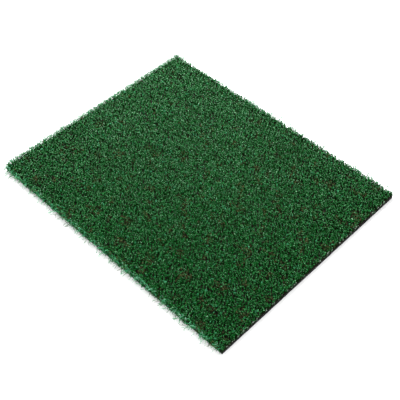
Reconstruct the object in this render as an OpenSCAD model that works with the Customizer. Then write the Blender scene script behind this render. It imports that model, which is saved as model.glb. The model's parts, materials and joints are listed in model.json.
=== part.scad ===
// Golf hitting mat: a rectangle cut from tufted artificial turf and bonded to a foam pad.
// From the floor up it is a foam pad, a latex coat, a woven primary backing, and the pile.
// The pile is many parallel tuft rows. Each row is one yarn: its stitch lies in the latex coat,
// its root passes through a needle slot in the backing, and its curled ends spread above.
// Origin: centre of the underside. +X along the tuft rows, +Y across them, +Z up. Millimetres.

/* [Mat] */
// Length of the mat, along the tuft rows
mat_l = 500; // [200:5:700]
// Width of the mat, across the tuft rows
mat_w = 400; // [150:5:500]

/* [Foam pad] */
// Thickness of the foam pad
foam_t = 4.5; // [2:0.5:15]

/* [Latex coat] */
// Thickness of the latex that locks the stitches and bonds the turf to the pad
latex_t = 0.9; // [0.8:0.1:3]

/* [Primary backing] */
// Thickness of the woven backing
backing_t = 0.6; // [0.3:0.1:1.5]
// Distance from the mat's cut ends to the ends of the needle slots
slot_margin = 6; // [3:1:20]

/* [Tuft rows] */
// Distance between the centres of neighbouring rows
gauge = 9.5; // [9:0.5:16]
// Height of the pile above the backing
pile_h = 7.5; // [5:0.5:25]
// Radius of a row's rounded shoulders
shoulder_r = 1.5; // [0.5:0.5:2.5]
// Width of a row where its tufts leave the backing
root_w = 4; // [3:0.5:6]
// Height of the gathered roots, below the spread of the row
root_h = 2; // [0.5:0.5:2]
// Width of the stitched yarn where it passes through the backing
stitch_w = 1.6; // [1:0.1:2.4]
// Depth to which the stitch sinks into the latex coat
stitch_d = 0.5; // [0.2:0.1:0.6]

/* [Clearances] */
// Gap between the spread sides of neighbouring rows
row_gap = 0.4; // [0.2:0.1:1]
// Gap between a stitch and each side of its slot
needle_gap = 0.1; // [0.05:0.05:0.3]

/* [Hidden] */
$fn = 48;
// How far a cut runs past the face it opens
cut_over = 1;

// Heights at which the layers meet
latex_z = foam_t;
backing_z = latex_z + latex_t;
pile_z = backing_z + backing_t;
stitch_z = backing_z - stitch_d;

// As many whole rows as the width holds, centred on the mat
rows = floor(mat_w / gauge);
row_w = gauge - row_gap;
stitch_l = mat_l - 2 * slot_margin - 2 * needle_gap;

function row_y(i) = (i - (rows + 1) / 2) * gauge;
function row_name(i) = str("tuft_row_", i < 10 ? "0" : "", i);

// A flat sheet that covers the mat, from height z up
module layer(z, t) {
    translate([-mat_l / 2, -mat_w / 2, z])
        cube([mat_l, mat_w, t]);
}

// The bar of stitched yarn under row i, grown by gap on its ends and sides
module stitch_bar(i, z, h, gap) {
    l = stitch_l + 2 * gap;
    w = stitch_w + 2 * gap;
    translate([-l / 2, row_y(i) - w / 2, z])
        cube([l, w, h]);
}

// One row's outline across its length: gathered roots below, a wide spread with round shoulders above
module row_profile() {
    translate([-root_w / 2, 0])
        square([root_w, root_h]);
    translate([-row_w / 2, root_h])
        square([row_w, pile_h - root_h - shoulder_r]);
    translate([-row_w / 2 + shoulder_r, pile_h - 2 * shoulder_r])
        square([row_w - 2 * shoulder_r, 2 * shoulder_r]);
    for (side = [-1, 1])
        translate([side * (row_w / 2 - shoulder_r), pile_h - shoulder_r])
            circle(shoulder_r);
}

// Closed-cell foam pad that lies on the floor
module foam_base() {
    color([0.09, 0.09, 0.09])
        layer(0, foam_t);
}

// Latex coat, with a blind groove for each row's stitch
module latex_coat() {
    color([0.30, 0.31, 0.29])
        difference() {
            layer(latex_z, latex_t);
            for (i = [1 : rows])
                stitch_bar(i, stitch_z, stitch_d + cut_over, needle_gap);
        }
}

// Woven backing, with a needle slot right through for each row
module primary_backing() {
    color([0.20, 0.17, 0.12])
        difference() {
            layer(backing_z, backing_t);
            for (i = [1 : rows])
                stitch_bar(i, backing_z - cut_over, backing_t + 2 * cut_over, needle_gap);
        }
}

// One tuft row: the stitch through the backing, and the pile that stands on it
module tuft_row(i) {
    color([0.14, 0.36, 0.18])
        union() {
            translate([-mat_l / 2, row_y(i), pile_z])
                rotate([90, 0, 90])
                    linear_extrude(mat_l)
                        row_profile();
            stitch_bar(i, stitch_z, pile_z - stitch_z, 0);
        }
}

foam_base();
latex_coat();
primary_backing();
for (i = [1 : rows])
    tuft_row(i);
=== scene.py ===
"""Golf hitting mat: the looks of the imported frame, built in metres around its tuft rows, backing and pad."""
import json
import math

import bpy
import numpy as np
from mathutils import Matrix, Vector

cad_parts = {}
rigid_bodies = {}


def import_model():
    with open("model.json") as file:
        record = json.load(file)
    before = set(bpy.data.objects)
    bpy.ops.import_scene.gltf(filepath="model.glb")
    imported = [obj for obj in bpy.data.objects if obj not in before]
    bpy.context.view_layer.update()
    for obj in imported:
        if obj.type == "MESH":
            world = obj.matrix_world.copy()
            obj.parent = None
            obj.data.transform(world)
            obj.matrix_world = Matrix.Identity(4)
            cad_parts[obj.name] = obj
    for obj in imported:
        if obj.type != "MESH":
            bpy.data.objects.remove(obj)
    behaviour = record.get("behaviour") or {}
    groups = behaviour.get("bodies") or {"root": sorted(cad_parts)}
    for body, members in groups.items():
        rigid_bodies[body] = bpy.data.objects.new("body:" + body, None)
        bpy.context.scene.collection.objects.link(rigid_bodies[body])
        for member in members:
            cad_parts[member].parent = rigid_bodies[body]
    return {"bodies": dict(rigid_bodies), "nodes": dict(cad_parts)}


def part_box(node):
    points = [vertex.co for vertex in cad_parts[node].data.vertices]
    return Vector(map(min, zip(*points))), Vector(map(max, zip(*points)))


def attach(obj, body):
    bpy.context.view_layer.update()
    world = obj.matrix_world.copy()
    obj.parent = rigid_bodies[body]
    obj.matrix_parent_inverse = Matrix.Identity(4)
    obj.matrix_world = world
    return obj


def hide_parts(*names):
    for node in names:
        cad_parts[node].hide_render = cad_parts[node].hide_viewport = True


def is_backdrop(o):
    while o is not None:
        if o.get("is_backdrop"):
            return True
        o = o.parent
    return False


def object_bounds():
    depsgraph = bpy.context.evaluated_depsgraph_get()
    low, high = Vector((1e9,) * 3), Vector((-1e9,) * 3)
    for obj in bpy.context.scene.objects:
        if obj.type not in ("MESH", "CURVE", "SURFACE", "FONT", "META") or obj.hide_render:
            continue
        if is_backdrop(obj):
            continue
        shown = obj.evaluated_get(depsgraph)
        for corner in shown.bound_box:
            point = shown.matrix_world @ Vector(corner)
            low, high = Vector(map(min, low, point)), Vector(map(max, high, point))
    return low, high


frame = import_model()
cad_low, cad_high = (list(corner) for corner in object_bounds())

ROOT = next(iter(frame["bodies"]))
ROW_NAMES = sorted(name for name in frame["nodes"] if name.startswith("tuft_row_"))
MAP = "OFBake"

foam_low, foam_high = (np.array(corner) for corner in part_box("foam_base"))
latex_low, latex_high = (np.array(corner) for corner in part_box("latex_coat"))
backing_low, backing_high = (np.array(corner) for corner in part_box("primary_backing"))
pile_low = backing_high[2]
pile_high = cad_high[2]
half_length = foam_high[0]
half_width = foam_high[1]


# ---------------------------------------------------------------- camera, light and floor

# The camera, in degrees and metres: it looks past the middle of the mat by CAMERA_RIGHT and CAMERA_UP
CAMERA_AZIMUTH, CAMERA_ELEVATION, CAMERA_ROLL = 45.122, 49.448, -0.655
CAMERA_DISTANCE, CAMERA_RIGHT, CAMERA_UP = 1.29203, -0.006646, 0.027023
LENS, SENSOR = 70.41, 36.0      # mm
WHITE = 1.0                     # the studio's light from all round
FLOOR_SHADE, FLOOR_ROUGHNESS = 0.93, 0.9
FLOOR_HALF_SIDE, FLOOR_GAP = 6.0, 0.0002


def look_at(position, target, roll=0.0):
    """The rotation of a camera or lamp that looks from position at target."""
    direction = (Vector(target) - Vector(position)).to_track_quat("-Z", "Y").to_matrix().to_4x4()
    return (direction @ Matrix.Rotation(roll, 4, "Z")).to_euler()


def make_camera():
    """A camera at the photograph's angle, on the near corner between the long and the short side."""
    azimuth, elevation = math.radians(CAMERA_AZIMUTH), math.radians(CAMERA_ELEVATION)
    roll = math.radians(CAMERA_ROLL)
    away = np.array([math.cos(elevation) * math.sin(azimuth), -math.cos(elevation) * math.cos(azimuth),
                     math.sin(elevation)])
    side = np.cross(-away, (0, 0, 1))
    side /= np.linalg.norm(side)
    over = np.cross(side, -away)
    side, over = (math.cos(roll) * side + math.sin(roll) * over,
                  math.cos(roll) * over - math.sin(roll) * side)
    position = away * CAMERA_DISTANCE - side * CAMERA_RIGHT - over * CAMERA_UP
    data = bpy.data.cameras.new("camera")
    data.lens = LENS
    data.sensor_width = SENSOR
    camera = bpy.data.objects.new("camera", data)
    camera.location = position
    camera.rotation_euler = look_at(position, position - away, roll)
    bpy.context.scene.collection.objects.link(camera)
    bpy.context.scene.camera = camera


make_camera()


def area_light(name, position, size, power):
    data = bpy.data.lights.new(name, "AREA")
    data.shape = "SQUARE"
    data.size = size
    data.energy = power
    lamp = bpy.data.objects.new(name, data)
    lamp.location = position
    lamp.rotation_euler = look_at(position, (0, 0, 0))
    bpy.context.scene.collection.objects.link(lamp)


area_light("key", position=(-0.55, 0.55, 1.0), size=0.3, power=42)
area_light("fill", position=(1.0, -0.9, 1.5), size=1.2, power=17)
world = bpy.data.worlds.new("studio")
world.use_nodes = True
world.node_tree.nodes["Background"].inputs["Color"].default_value = (1, 1, 1, 1)
world.node_tree.nodes["Background"].inputs["Strength"].default_value = WHITE
bpy.context.scene.world = world
bpy.context.scene.view_settings.view_transform = "Standard"


def make_floor():
    """A plain pale floor, just under the mat so that the two faces don't meet."""
    mesh = bpy.data.meshes.new("floor")
    s = FLOOR_HALF_SIDE
    mesh.from_pydata([(-s, -s, 0), (s, -s, 0), (s, s, 0), (-s, s, 0)], [], [(0, 1, 2, 3)])
    floor = bpy.data.objects.new("floor", mesh)
    floor.location.z = -FLOOR_GAP
    bpy.context.scene.collection.objects.link(floor)
    material = bpy.data.materials.new("floor")
    material.use_nodes = True
    shader = material.node_tree.nodes["Principled BSDF"]
    shader.inputs["Base Color"].default_value = (FLOOR_SHADE, FLOOR_SHADE, FLOOR_SHADE, 1)
    shader.inputs["Roughness"].default_value = FLOOR_ROUGHNESS
    mesh.materials.append(material)
    floor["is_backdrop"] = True


make_floor()


# ---------------------------------------------------------------- yarn

STITCH = 0.008          # from one tuft to the next along a row
POINTS = 18             # points along a fibre
WIDTH = 0.00095         # a fibre's width
FLATNESS = 0.4          # its thickness, as a share of its width
TIP = 0.6               # the width of its cut end, as a share of its width
EVEN_STEPS = (0.7548777, 0.5698403)     # steps that spread points evenly over a square
UNEVEN = 0.15           # how far roots stray from that spread, as a share of their spacing
SKIN = 0.0004           # the yarn's gap to the backing under it and the base beside it
TILT = (0.8, 0.8, 1.2)  # the curls' axes lean towards upright
ROW_END = 0.001         # the roots stop short of a row's ends by this much

# How far yarn may pass the far end, the near end and the long sides, and over what length it slows down
FAR_REACH, NEAR_REACH, SIDE_REACH = 0.009, 0.0006, 0.016
SLOWING, NEAR_SLOWING = 0.003, 0.0015
EDGE_STRIP = 0.0015     # low yarn this near a long side is moved outside it, not up

# How many fibres there are of each kind: for each tuft, at each row's ends, along each long side
CANOPY, THATCH = 11.6, 3
FAR_END, MOST_AT_NEAR_END = 34, 5
FRINGE, SKIRT, STRAYS = 320, 290, 330
THINNED = 0.15          # the share of the canopy that is left out at the far corner

# Bands of the yarn's colour scale, from 0 to 1 across its map; the green band's light end is painted highlight
# and the mint band painted glow
BROWN, PALE, GREEN, TEAL, MINT = (0.01, 0.11), (0.15, 0.19), (0.24, 0.78), (0.83, 0.90), (0.93, 0.99)
SHADE_SPREAD = 0.004    # a fibre's two edges differ this much from its middle on that scale
SIDE_PAINTED_LIGHT = 0.0025     # painted light: yarn this far past the base is painted as light as the top of the pile
MAP_MARGIN = 0.01       # the map's height axis stays this far from its edges


def unit(v):
    """v at length 1, along its last axis."""
    return v / np.maximum(np.linalg.norm(v, axis=-1, keepdims=True), 1e-12)


def smooth(x):
    """0 up to 0 and 1 from 1, with a smooth step between."""
    x = np.clip(x, 0, 1)
    return x * x * (3 - 2 * x)


def waves(seed, shortest, longest, count=14):
    """A smooth random field over the mat, of about -1 to 1, as a function of x and y."""
    rng = np.random.default_rng(seed)
    length = np.exp(rng.uniform(math.log(shortest), math.log(longest), count))
    heading, phase = rng.uniform(0, 2 * math.pi, (2, count))
    kx, ky = 2 * math.pi / length * np.cos(heading), 2 * math.pi / length * np.sin(heading)

    def field(x, y):
        each = np.cos(np.multiply.outer(x, kx) + np.multiply.outer(y, ky) + phase)
        return each.sum(-1) / math.sqrt(2 * count)
    return field


bare_field = waves(6, 0.02, 0.07)


def nearness(x, y):
    """How near a place is to the worn near corner, 0 to 1 along the mat's diagonal; the canopy's greens are
    painted darker there.
    """
    return smooth(0.55 + (x - y) / 0.75)


def bareness(x, y):
    """How thin the canopy is, 0 to 1: a few patches, more of them towards the worn corner."""
    return smooth((bare_field(x, y) - 0.05) / 0.95) * (0.2 + 0.8 * nearness(x, y))


def curled(rng, roots, heading, spread, height, droop, radius, turns, grow=0.35):
    """Curled paths (fibres, points, 3) that rise from roots and lean outwards, and each curl's axis.

    The curl reaches its radius at grow, a share of the fibre's length.
    """
    n = len(roots)
    t = np.linspace(0, 1, POINTS)[None, :, None]
    axis = unit(rng.normal(size=(n, 3)) * TILT)
    e1 = unit(np.cross(axis, rng.normal(size=(n, 3))))
    e2 = np.cross(axis, e1)
    out = np.stack([np.cos(heading), np.sin(heading), np.zeros(n)], 1)
    spine = roots[:, None] + out[:, None] * spread[:, None, None] * t ** 1.2
    rise = height[:, None, None] * smooth(t * 2.2) - droop[:, None, None] * t ** 2
    spine = spine + np.array([0, 0, 1]) * rise
    angle = rng.uniform(0, 2 * math.pi, n)[:, None, None] + 2 * math.pi * turns[:, None, None] * t
    curl = radius[:, None, None] * smooth(t / grow)
    return spine + curl * (np.cos(angle) * e1[:, None] + np.sin(angle) * e2[:, None]), axis


def eased(value, limit, room):
    """value, bent to stay under limit over its last stretch of room."""
    past = value - (limit - room)
    return np.where(past > 0, limit - room * np.exp(-np.maximum(past, 0) / room), value)


def kept_clear(paths):
    """paths kept above the backing over the mat, above the floor beside it, and cut back at its edges."""
    x, y, z = paths[..., 0], paths[..., 1], paths[..., 2]
    x[:] = eased(x, half_length + NEAR_REACH, NEAR_SLOWING)
    x[:] = -eased(-x, half_length + FAR_REACH, SLOWING)
    y[:] = np.sign(y) * eased(np.abs(y), half_width + SIDE_REACH, SLOWING)
    over_mat = (np.abs(y) <= half_width + SKIN) & (np.abs(x) <= half_length + SKIN)
    low = over_mat & (z < pile_low + SKIN)
    to_side = low & (np.abs(y) > half_width - EDGE_STRIP)
    y[:] = np.where(to_side, np.sign(y) * (half_width + SKIN * 1.5), y)
    z[:] = np.where(low & ~to_side, pile_low + SKIN, np.maximum(z, 2 * SKIN))
    return paths


def yarn_mesh(name, paths, axis, shade, width, painted_lift, roll):
    """A mesh of closed three-sided fibres along paths. Its map holds shade across, and up it painted shade:
    the yarn is painted darker the lower it lies in the pile, and light at its top and past the base's edges.
    """
    n, k = paths.shape[:2]
    tangent = unit(np.gradient(paths, axis=1))
    across = unit(axis[:, None] - (axis[:, None] * tangent).sum(-1, keepdims=True) * tangent)
    through = np.cross(tangent, across)
    cos_roll, sin_roll = np.cos(roll)[..., None], np.sin(roll)[..., None]
    across, through = cos_roll * across + sin_roll * through, cos_roll * through - sin_roll * across
    taper = np.ones(k)
    taper[-1] = TIP
    w = (width[:, None] * taper)[..., None]
    h = w * FLATNESS
    sides = [paths - across * w / 2 - through * h / 3,
             paths + across * w / 2 - through * h / 3,
             paths + through * h * 2 / 3]
    verts = np.stack(sides, 2).reshape(-1, 3)
    ring = np.arange(n * k).reshape(n, k) * 3
    a, b = ring[:, :-1].ravel(), ring[:, 1:].ravel()
    quads = np.concatenate([np.stack([a + i, a + (i + 1) % 3, b + (i + 1) % 3, b + i], 1)
                            for i in range(3)])
    first, last = ring[:, 0], ring[:, -1]
    caps = np.concatenate([np.stack([first + 2, first + 1, first], 1),
                           np.stack([last, last + 1, last + 2], 1)])
    loops = np.concatenate([quads.ravel(), caps.ravel()]).astype(np.int32)
    starts = np.concatenate([np.arange(len(quads)) * 4, len(quads) * 4 + np.arange(len(caps)) * 3])
    mesh = bpy.data.meshes.new(name)
    mesh.vertices.add(len(verts))
    mesh.vertices.foreach_set("co", verts.astype(np.float32).ravel())
    mesh.loops.add(len(loops))
    mesh.loops.foreach_set("vertex_index", loops)
    mesh.polygons.add(len(starts))
    mesh.polygons.foreach_set("loop_start", starts.astype(np.int32))
    mesh.polygons.foreach_set("use_smooth", np.ones(len(starts), bool))
    u = (shade[:, :, None] + np.array([-SHADE_SPREAD, SHADE_SPREAD, 0.0])).ravel()
    # Painted shade: the map's height axis darkens yarn low in the pile, as if shaded by the yarn above; yarn
    # past the base's edges and each fibre's painted lift are painted lighter.
    height = (verts[:, 2] - pile_low) / (pile_high - pile_low)
    outside = np.maximum(np.abs(verts[:, 0]) - half_length, np.abs(verts[:, 1]) - half_width)
    painted_light = np.maximum(height, outside / SIDE_PAINTED_LIGHT) + np.repeat(painted_lift, k * 3)
    v = MAP_MARGIN + (1 - 2 * MAP_MARGIN) * np.clip(painted_light, 0, 1)
    layer = mesh.uv_layers.new(name=MAP)
    layer.uv.foreach_set("vector", np.stack([u, v], 1)[loops].astype(np.float32).ravel())
    mesh.update(calc_edges=True)
    mesh.validate()
    return mesh


def ramp_node(nodes, stops):
    """A colour ramp through stops, each a position and a colour."""
    ramp = nodes.new("ShaderNodeValToRGB")
    elements = ramp.color_ramp.elements
    while len(elements) < len(stops):
        elements.new(0.5)
    for element, (position, colour) in zip(elements, stops):
        element.position = position
        element.color = (*colour, 1)
    return ramp


def yarn_material():
    """The pile's yarn: its map's first axis picks the shade and gloss, its second how much painted shade it
    gets.
    """
    material = bpy.data.materials.new("pile_yarn")
    material.use_nodes = True
    tree = material.node_tree
    nodes, links = tree.nodes, tree.links
    shader = nodes["Principled BSDF"]
    uv = nodes.new("ShaderNodeUVMap")
    uv.uv_map = MAP
    split = nodes.new("ShaderNodeSeparateXYZ")
    links.new(uv.outputs["UV"], split.inputs[0])
    # Painted highlights: the green band runs up to a pale grey-green sheen at its light end, and the teal band
    # into a pale mint, a painted glow.
    hue = ramp_node(nodes, [(0.0, (0.012, 0.016, 0.005)), (0.12, (0.074, 0.084, 0.034)),
                            (0.14, (0.16, 0.19, 0.16)), (0.20, (0.34, 0.38, 0.33)),
                            (0.23, (0.0003, 0.022, 0.001)), (0.40, (0.001, 0.068, 0.006)),
                            (0.565, (0.013, 0.147, 0.033)), (0.69, (0.086, 0.262, 0.112)),
                            (0.79, (0.29, 0.46, 0.32)), (0.82, (0.009, 0.12, 0.038)),
                            (0.91, (0.07, 0.32, 0.15)), (1.0, (0.30, 0.44, 0.36))])
    links.new(split.outputs["X"], hue.inputs["Fac"])
    # Painted shade: yarn low in the pile is painted dark and a deeper green, as if shaded and lit by green
    # light bounced between the fibres; the top keeps its own colour.
    painted_shade = ramp_node(nodes, [(0.0, (0.015, 0.17, 0.03)), (0.4, (0.035, 0.26, 0.06)),
                              (0.7, (0.24, 0.44, 0.28)), (1.0, (1, 1, 1))])
    links.new(split.outputs["Y"], painted_shade.inputs["Fac"])
    shaded = nodes.new("ShaderNodeMix")
    shaded.data_type = "RGBA"
    shaded.blend_type = "MULTIPLY"
    shaded.inputs[0].default_value = 1.0
    links.new(hue.outputs["Color"], shaded.inputs[6])
    links.new(painted_shade.outputs["Color"], shaded.inputs[7])
    links.new(shaded.outputs[2], shader.inputs["Base Color"])
    gloss = ramp_node(nodes, [(0.0, (0.8,) * 3), (0.2, (0.7,) * 3), (0.25, (0.62,) * 3), (0.79, (0.42,) * 3),
                              (1.0, (0.5,) * 3)])
    links.new(split.outputs["X"], gloss.inputs["Fac"])
    links.new(gloss.outputs["Color"], shader.inputs["Roughness"])
    shader.inputs["Specular IOR Level"].default_value = 0.02
    return material


yarn = yarn_material()


def band(rng, n, limits, middle=0.5, spread=0.25, glint_swing=0.3):
    """Each fibre's places on a band of the colour scale: its own shade, with painted glints that swing it
    lighter and darker along its length as it twists.
    """
    cycles = rng.uniform(3, 8.5, (n, 1))
    phase = rng.uniform(0, 1, (n, 1))
    # Painted glints: the shade swings up and down the band along the fibre, for the light catching it as it
    # twists.
    painted_glints = glint_swing * np.sin(2 * math.pi * (phase + cycles * np.linspace(0, 1, POINTS)))
    share = np.clip(rng.normal(middle, spread, (n, 1)) + painted_glints, 0, 1)
    return limits[0] + (limits[1] - limits[0]) * share


def either(rng, share, first, second):
    """The first places for a share of the fibres, the second for the rest."""
    return np.where(rng.random((len(first), 1)) < np.reshape(share, (-1, 1)), first, second)


def greens(rng, n, middle=0.48, spread=0.06, teal=0.035, glint_swing=0.5):
    """Mostly greens, and a few blue-greens."""
    return either(rng, np.full(n, teal), band(rng, n, TEAL), band(rng, n, GREEN, middle, spread, glint_swing))


def glowing_tips(rng, n):
    """Painted glow: blue-green at the root and pale mint towards the tip, painted as if light shone through
    the thin yarn.
    """
    share = rng.normal(0.1, 0.15, (n, 1)) + rng.uniform(0.3, 1.1, (n, 1)) * np.linspace(0, 1, POINTS)
    return TEAL[0] + (MINT[1] - TEAL[0]) * np.clip(share, 0, 1)


def make_row(index, name):
    """One tuft row's yarn, curled and cut, in place of its plain solid."""
    rng = np.random.default_rng(1000 + index)
    low, high = (np.array(corner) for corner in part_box(name))
    middle, row_width = (low[1] + high[1]) / 2, high[1] - low[1]
    pile = pile_high - pile_low
    tufts = int(round((high[0] - low[0]) / STITCH))
    parts = []

    def scattered(per_tuft):
        """Roots spread over the row, per_tuft of them for each tuft."""
        n = int(tufts * per_tuft)
        even = (rng.uniform(0, 1, 2) + np.outer(np.arange(n), EVEN_STEPS)) % 1
        even = (even + rng.normal(0, UNEVEN, (n, 2)) / (n, 3)) % 1
        x = low[0] + ROW_END + even[:, 0] * (high[0] - low[0] - 2 * ROW_END)
        y = middle + (even[:, 1] - 0.5) * row_width
        return np.stack([x, y, np.full(n, pile_low)], 1)

    def along_side(n, side, inset):
        """n roots along a long side of the mat, within the inset range from its edge."""
        x = rng.uniform(-half_length, half_length, n)
        return np.stack([x, side * (half_width - rng.uniform(*inset, n)), np.full(n, pile_low)], 1)

    def add(path_and_axis, shade, thickness, painted_lift):
        """Keeps curled fibres with their places on the colour scale, widths, extra painted light and roll."""
        paths, axis = path_and_axis
        n = len(paths)
        roll = rng.uniform(0, 2 * math.pi, (n, 1)) + rng.normal(0, 4, (n, 1)) * np.linspace(0, 1, POINTS)
        parts.append((paths, axis, shade, WIDTH * rng.uniform(*thickness, n), painted_lift + np.zeros(n), roll))

    # The canopy: long green curls that reach the top of the pile
    roots = scattered(CANOPY)
    near = nearness(roots[:, 0], roots[:, 1])
    roots = roots[rng.random(len(roots)) > THINNED * (1 - near)]
    near = nearness(roots[:, 0], roots[:, 1])[:, None]
    n = len(roots)
    curls = curled(rng, roots, heading=rng.uniform(0, 2 * math.pi, n), spread=rng.uniform(0, 0.003, n),
                   height=rng.uniform(0.7, 0.98, n) * pile, droop=np.zeros(n),
                   radius=rng.uniform(0.0005, 0.0016, n), turns=rng.uniform(1.2, 2.8, n))
    # Painted light: near the far end, half the canopy turns teal and is painted lighter, as a glow of light
    # from behind.
    at_end = smooth((low[0] + 0.006 - roots[:, 0]) / 0.005)
    bare = bareness(roots[:, 0], roots[:, 1])
    # Painted shade: the greens are darker, and their painted glints fainter, towards the near corner.
    green = greens(rng, n, 0.445 - 0.06 * near, glint_swing=0.87 - 0.3 * near)
    shade = either(rng, 0.5 * at_end, band(rng, n, TEAL), green)
    shade = either(rng, 0.5 * bare, band(rng, n, BROWN, 0.6), shade)
    add(curls, shade, thickness=(0.75, 1.25), painted_lift=0.25 * at_end)

    # The thatch: short curls near the backing, brown and taller where the canopy is bare; its brown is painted
    # darker where the canopy shades it.
    roots = scattered(THATCH)
    n = len(roots)
    bare = bareness(roots[:, 0], roots[:, 1])
    curls = curled(rng, roots, heading=rng.uniform(0, 2 * math.pi, n), spread=rng.uniform(0, 0.005, n),
                   height=(rng.uniform(0.1, 0.5, n) + 0.5 * bare) * pile, droop=np.zeros(n),
                   radius=rng.uniform(0.0008, 0.002, n), turns=rng.uniform(0.8, 1.6, n))
    # Painted shade: the brown is darker where the canopy over it is thick, and lifted out of the painted shade
    # where it is bare.
    brown = band(rng, n, BROWN, 0.3 + 0.4 * bare[:, None])
    shade = either(rng, smooth(bare * 2), brown, greens(rng, n, 0.35))
    add(curls, shade, thickness=(0.8, 1.2), painted_lift=0.2 * bare)

    # The far cut end, where the last tufts splay out, and the near one, which is cut clean. The far end's yarn
    # is painted pale and light, as a glow of light from behind.
    n = FAR_END
    roots = np.stack([low[0] + rng.uniform(0.0004, 0.003, n),
                      rng.uniform(low[1], high[1], n), np.full(n, pile_low)], 1)
    curls = curled(rng, roots, heading=math.pi + rng.normal(0, 0.6, n), spread=rng.exponential(0.005, n),
                   height=rng.uniform(0.5, 1.2, n) * pile, droop=rng.uniform(-0.001, 0.003, n),
                   radius=rng.uniform(0.0008, 0.002, n), turns=rng.uniform(0.6, 1.6, n))
    shade = either(rng, np.full(n, 0.4), glowing_tips(rng, n), greens(rng, n, 0.66, 0.12, 0.3))
    add(curls, shade, thickness=(0.3, 0.7), painted_lift=0.35)
    n = rng.integers(0, MOST_AT_NEAR_END + 1)
    roots = np.stack([high[0] - rng.uniform(0.0003, 0.0012, n),
                      middle + rng.normal(0, 0.002, n), np.full(n, pile_low)], 1)
    ends = curled(rng, roots, heading=rng.normal(0, 0.8, n), spread=rng.uniform(0, 0.001, n),
                  height=rng.uniform(0.1, 0.6, n) * pile, droop=np.zeros(n),
                  radius=rng.uniform(0.0006, 0.0014, n), turns=rng.uniform(0.4, 1.0, n))
    add(ends, band(rng, n, PALE), thickness=(0.8, 1.3), painted_lift=0.4)

    # The outer rows' fringe of curls over a long cut edge, the skirt below it, and the stray ends
    side = {0: -1, len(ROW_NAMES) - 1: 1}.get(index, 0)
    if side:
        outward = side * math.pi / 2
        painted_glow = 0.6 if side > 0 else 0.12       # painted light: the far side's yarn is painted paler and lighter, as if light shone through it
        n = FRINGE
        roots = along_side(n, side, (0.0006, 0.004))
        curls = curled(rng, roots, heading=outward + rng.normal(0, 0.6, n),
                       spread=rng.uniform(0.001, 0.007, n), height=rng.uniform(0.4, 1.05, n) * pile,
                       droop=rng.uniform(-0.001, 0.008, n), radius=rng.uniform(0.0008, 0.002, n),
                       turns=rng.uniform(0.6, 1.8, n))
        shade = either(rng, np.full(n, painted_glow), glowing_tips(rng, n), greens(rng, n, 0.52, 0.12))
        add(curls, shade, thickness=(0.45, 0.85), painted_lift=0.1 + 0.55 * painted_glow)
        n = SKIRT
        roots = along_side(n, side, (-0.0012, -0.0006))
        roots[:, 2] += rng.uniform(0.05, 0.6, n) * pile
        skirt = curled(rng, roots, heading=outward + rng.normal(0, 0.5, n),
                       spread=rng.uniform(0.0003, 0.0028, n), height=np.zeros(n),
                       droop=rng.uniform(0.003, 0.0095, n), radius=rng.uniform(0.0006, 0.0016, n),
                       turns=rng.uniform(0.6, 1.6, n))
        # Painted light: the skirt hangs in the shade of the pile's side but is painted lighter.
        add(skirt, greens(rng, n, 0.54, 0.12, 0.2), thickness=(0.65, 1.05), painted_lift=0.35)
        n = STRAYS
        roots = along_side(n, side, (0.0003, 0.003))
        strays = curled(rng, roots, heading=outward + rng.normal(0, 0.6, n),
                        spread=0.003 + rng.exponential(0.0075, n), height=rng.uniform(0.9, 1.45, n) * pile,
                        droop=rng.uniform(-0.004, 0.008, n), radius=rng.uniform(0.0008, 0.0024, n),
                        turns=rng.uniform(0.5, 1.6, n), grow=0.6)
        shade = either(rng, np.full(n, 0.08), band(rng, n, BROWN, 0.9), greens(rng, n, 0.55, 0.15, 0.4))
        shade = either(rng, np.full(n, 0.35 + 0.6 * painted_glow), glowing_tips(rng, n), shade)
        add(strays, shade, thickness=(0.45, 1.1), painted_lift=0.3)

    paths, axis, shade, width, painted_lift, roll = (np.concatenate(column) for column in zip(*parts))
    paths = kept_clear(paths)
    mesh = yarn_mesh("yarn_" + name[5:], paths, axis, shade, width, painted_lift, roll)
    mesh.materials.append(yarn)
    piece = bpy.data.objects.new("yarn_" + name[5:], mesh)
    bpy.context.scene.collection.objects.link(piece)
    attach(piece, ROOT)
    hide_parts(name)


for row_index, row_name in enumerate(ROW_NAMES):
    make_row(row_index, row_name)


# ---------------------------------------------------------------- pad, coat and backing

WEAVE_RELIEF = 0.00008          # a tape's rise and dip
WAVE_BANDS = 3.2                # bands in a metre of a wave texture at scale 1
GRAIN = 6                       # a surface's grain is this much finer than its mottling


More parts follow.
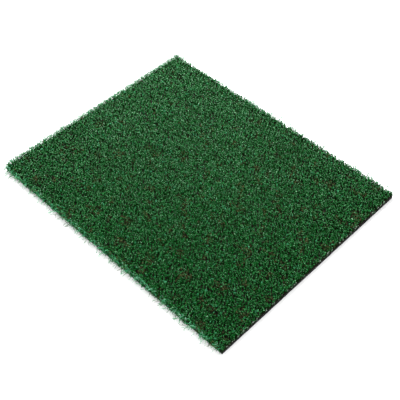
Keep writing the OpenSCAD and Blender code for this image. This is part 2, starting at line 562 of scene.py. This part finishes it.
def slab(name, low, high, step, levels, shape):
    """A closed block on a fine lattice, its points moved by shape(points, indices, last indices)."""
    low, high = np.array(low, float), np.array(high, float)
    nx, ny = (int(round((high[i] - low[i]) / step)) for i in (0, 1))
    i, j, k = np.meshgrid(np.arange(nx + 1), np.arange(ny + 1), np.arange(levels + 1), indexing="ij")
    points = low + np.stack([i / nx, j / ny, k / levels], -1) * (high - low)
    points = shape(points, i, j, k, nx, ny, levels)

    def number(i, j, k):
        """The number of a lattice point."""
        return (i * (ny + 1) + j) * (levels + 1) + k

    faces = []
    for a_count, b_count, corner in (
            (nx, ny, lambda a, b: (a, b, 0)), (nx, ny, lambda a, b: (a, b, levels)),
            (nx, levels, lambda a, b: (a, 0, b)), (nx, levels, lambda a, b: (a, ny, b)),
            (ny, levels, lambda a, b: (0, a, b)), (ny, levels, lambda a, b: (nx, a, b))):
        a, b = (grid.ravel() for grid in np.meshgrid(np.arange(a_count), np.arange(b_count), indexing="ij"))
        quad = [number(*corner(a, b)), number(*corner(a + 1, b)),
                number(*corner(a + 1, b + 1)), number(*corner(a, b + 1))]
        faces.append(np.stack(quad, 1) + np.zeros((len(a), 1), int))
    for flipped in (0, 3, 4):
        faces[flipped] = faces[flipped][:, ::-1]
    faces = np.concatenate(faces)
    used, faces = np.unique(faces, return_inverse=True)
    mesh = bpy.data.meshes.new(name)
    mesh.from_pydata(points.reshape(-1, 3)[used].tolist(), [], faces.reshape(-1, 4).tolist())
    mesh.update()
    piece = bpy.data.objects.new(name, mesh)
    bpy.context.scene.collection.objects.link(piece)
    return piece


def knife_cut(points, wobble, seed):
    """points with the outer edge moved in by a smooth random cut of up to wobble."""
    along = waves(seed, 0.006, 0.09)
    z = points[..., 2]
    for axis, other in ((0, 1), (1, 0)):
        edge = np.abs(points[..., axis])
        limit = edge.max()
        at_edge = edge > limit - 1e-6
        side = np.sign(points[..., axis])
        cut = wobble * (0.5 + 0.35 * along(points[..., other] + 3 * side, z * 4 + axis))
        points[..., axis] = np.where(at_edge, side * (limit - np.clip(cut, 0, wobble)), points[..., axis])
    return points


def foam_shape(points, *lattice):
    return knife_cut(points, 0.0005, 21)


def latex_shape(points, *lattice):
    return knife_cut(points, 0.0007, 22)


def weave_shape(points, i, j, k, nx, ny, levels):
    """The backing's tapes go over and under, and stick out a little at the cut edges."""
    rng = np.random.default_rng(23)
    over = np.where((i + j) % 2 == 0, WEAVE_RELIEF, -WEAVE_RELIEF)
    inner = (i > 0) & (i < nx) & (j > 0) & (j < ny)
    points[..., 2] += np.where(inner & (k == levels), over - WEAVE_RELIEF, 0)
    tapes_x = rng.uniform(-0.0003, 0.0007, (2, ny + 1))
    tapes_y = rng.uniform(-0.0003, 0.0005, (2, nx + 1))
    for end, at, sign in ((0, 0, -1), (1, nx, 1)):
        points[at, :, :, 0] += sign * tapes_x[end][:, None]
    for end, at, sign in ((0, 0, -1), (1, ny, 1)):
        points[:, at, :, 1] += sign * tapes_y[end][:, None]
    return points


def surface_material(name, stops, scale, roughness, bump, weave=None):
    """A material with mottled colour, uneven roughness and fine relief; weave is a tape's width."""
    material = bpy.data.materials.new(name)
    material.use_nodes = True
    nodes, links = material.node_tree.nodes, material.node_tree.links
    shader = nodes["Principled BSDF"]
    place = nodes.new("ShaderNodeTexCoord").outputs["Object"]
    mottle = nodes.new("ShaderNodeTexNoise")
    mottle.inputs["Scale"].default_value = scale
    mottle.inputs["Detail"].default_value = 6.0
    links.new(place, mottle.inputs["Vector"])
    grain = nodes.new("ShaderNodeTexVoronoi")
    grain.inputs["Scale"].default_value = scale * GRAIN
    links.new(place, grain.inputs["Vector"])
    pattern, relief = mottle.outputs["Fac"], grain.outputs["Distance"]
    if weave:
        tapes = []
        for direction in ("X", "Y"):
            wave = nodes.new("ShaderNodeTexWave")
            wave.bands_direction = direction
            wave.inputs["Scale"].default_value = 1 / weave / WAVE_BANDS
            wave.inputs["Distortion"].default_value = 0.6
            links.new(place, wave.inputs["Vector"])
            tapes.append(wave.outputs["Fac"])
        crossed = nodes.new("ShaderNodeMath")
        crossed.operation = "MULTIPLY"
        links.new(tapes[0], crossed.inputs[0])
        links.new(tapes[1], crossed.inputs[1])
        blend = nodes.new("ShaderNodeMath")
        blend.operation = "MULTIPLY_ADD"
        blend.inputs[1].default_value = 0.5
        links.new(crossed.outputs[0], blend.inputs[0])
        dimmed = nodes.new("ShaderNodeMath")
        dimmed.operation = "MULTIPLY"
        dimmed.inputs[1].default_value = 0.6
        links.new(mottle.outputs["Fac"], dimmed.inputs[0])
        links.new(dimmed.outputs[0], blend.inputs[2])
        pattern, relief = blend.outputs[0], crossed.outputs[0]
    ramp = ramp_node(nodes, stops)
    links.new(pattern, ramp.inputs["Fac"])
    links.new(ramp.outputs["Color"], shader.inputs["Base Color"])
    rough = nodes.new("ShaderNodeMapRange")
    rough.inputs["To Min"].default_value, rough.inputs["To Max"].default_value = roughness
    links.new(mottle.outputs["Fac"], rough.inputs["Value"])
    links.new(rough.outputs["Result"], shader.inputs["Roughness"])
    raised = nodes.new("ShaderNodeBump")
    raised.inputs["Strength"].default_value = 0.6
    raised.inputs["Distance"].default_value = bump
    links.new(relief, raised.inputs["Height"])
    links.new(raised.outputs["Normal"], shader.inputs["Normal"])
    shader.inputs["Specular IOR Level"].default_value = 0.08
    return material


foam = slab("foam_pad", foam_low, foam_high, 0.004, 4, foam_shape)
foam.data.materials.append(surface_material(
    "pad_foam", [(0.3, (0.006, 0.0065, 0.007)), (0.7, (0.016, 0.017, 0.019))], 300, (0.7, 0.95), 0.0002))
latex = slab("latex_layer", latex_low, latex_high, 0.004, 2, latex_shape)
latex.data.materials.append(surface_material(
    "coat_latex", [(0.3, (0.012, 0.014, 0.012)), (0.7, (0.05, 0.055, 0.05))], 500, (0.5, 0.8), 0.0002))
backing = slab("backing_cloth", backing_low, backing_high, 0.0025, 1, weave_shape)
backing.data.materials.append(surface_material(
    "backing_weave", [(0.2, (0.004, 0.0035, 0.002)), (0.8, (0.015, 0.012, 0.007))], 400, (0.6, 0.85), 0.0002,
    weave=0.0025))
for piece, node, slot in ((foam, "foam_base", "foam"), (latex, "latex_coat", "latex"),
                          (backing, "primary_backing", "backing")):
    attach(piece, ROOT)
    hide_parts(node)
